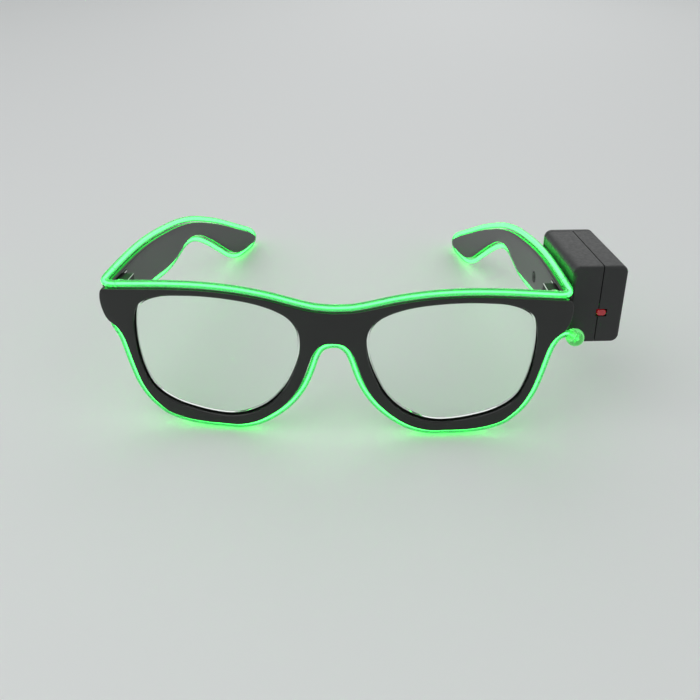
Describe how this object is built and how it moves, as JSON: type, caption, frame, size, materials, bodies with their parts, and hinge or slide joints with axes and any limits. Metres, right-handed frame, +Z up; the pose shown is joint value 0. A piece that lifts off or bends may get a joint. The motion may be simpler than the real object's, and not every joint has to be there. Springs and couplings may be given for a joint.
{
  "type": "light up party glasses",
  "caption": "Novelty spectacles with folding temples, clear lenses, a glowing wire round every edge and a small battery inverter box clipped to one temple.",
  "frame": {"origin": "on the table, under the middle of the whole bounding box, the glasses standing open on the two rims and both temple tips", "axes": "+X to the wearer's left (the battery box side), +Y from the front back along the temples, +Z up"},
  "size_m": [0.169, 0.1516, 0.058],
  "materials": {
    "frame_plastic": "smooth gloss black, moulded",
    "lens": "clear, polished",
    "el_wire": "clear jacket over a glowing green core",
    "end_cap": "clear soft vinyl, lit by the wire",
    "sleeve": "clear shrink sleeve",
    "hinge_steel": "pressed steel, black plated",
    "screw_steel": "plain steel, machined",
    "box_plastic": "fine matte black, moulded",
    "button_plastic": "satin black",
    "tray_plastic": "plain black",
    "led_red": "clear red, lit",
    "board_green": "solder mask green",
    "ferrite": "sintered dark grey",
    "chip_black": "moulded package",
    "nickel": "nickel plated",
    "cell_steel": "nickel plated can"
  },
  "bodies": {
    "front": {"front_frame": "frame_plastic", "lens_left": "lens", "lens_right": "lens", "hinge_front_leaf_left": "hinge_steel", "hinge_front_leaf_right": "hinge_steel", "hinge_screw_left": "screw_steel", "hinge_screw_right": "screw_steel", "el_wire_front_top": "el_wire", "el_wire_front_bottom": "el_wire", "el_wire_end_cap": "end_cap", "el_wire_hinge_top_left": "el_wire", "el_wire_hinge_top_right": "el_wire", "el_wire_hinge_bottom_right": "el_wire"},
    "temple_right": {"temple_right": "frame_plastic", "hinge_temple_leaf_right": "hinge_steel", "el_wire_temple_right": "el_wire"},
    "temple_left": {"temple_left": "frame_plastic", "hinge_temple_leaf_left": "hinge_steel", "el_wire_temple_left": "el_wire", "box_base": "box_plastic", "box_lid": "box_plastic", "status_led": "led_red", "inverter_board": "board_green", "inverter_transformer": "ferrite", "inverter_chip": "chip_black", "inverter_capacitor": "chip_black", "tactile_switch": "nickel", "cell_tray": "tray_plastic", "coin_cell_inner": "cell_steel", "coin_cell_outer": "cell_steel", "cell_contact_inner": "nickel", "cell_contact_outer": "nickel", "wire_sleeve": "sleeve", "box_mount_screw_1": "screw_steel", "box_mount_screw_2": "screw_steel"},
    "battery_door": {"battery_door": "box_plastic"},
    "power_button": {"power_button": "button_plastic"}
  },
  "joints": [
    {"name": "temple_left_fold", "type": "hinge", "parent": "front", "child": "temple_left", "pos_m": [0.061, -0.06373, 0.04625], "axis": [0, 0.0523, 0.9986], "range_deg": [0, 72], "deforming": ["el_wire_hinge_top_left"]},
    {"name": "temple_right_fold", "type": "hinge", "parent": "front", "child": "temple_right", "pos_m": [-0.0786, -0.06373, 0.04625], "axis": [0, -0.0523, -0.9986], "range_deg": [0, 80], "deforming": ["el_wire_hinge_top_right", "el_wire_hinge_bottom_right"]},
    {"name": "battery_door_slide", "type": "slide", "parent": "temple_left", "child": "battery_door", "axis": [-0.0867, 0.9907, -0.1045], "range_m": [0, 0.026]},
    {"name": "power_button_press", "type": "slide", "parent": "temple_left", "child": "power_button", "axis": [-0.0091, 0.1041, 0.9945], "range_m": [0, 0.0006], "stiffness_N_per_m": 500, "springref_m": -0.0006}
  ]
}
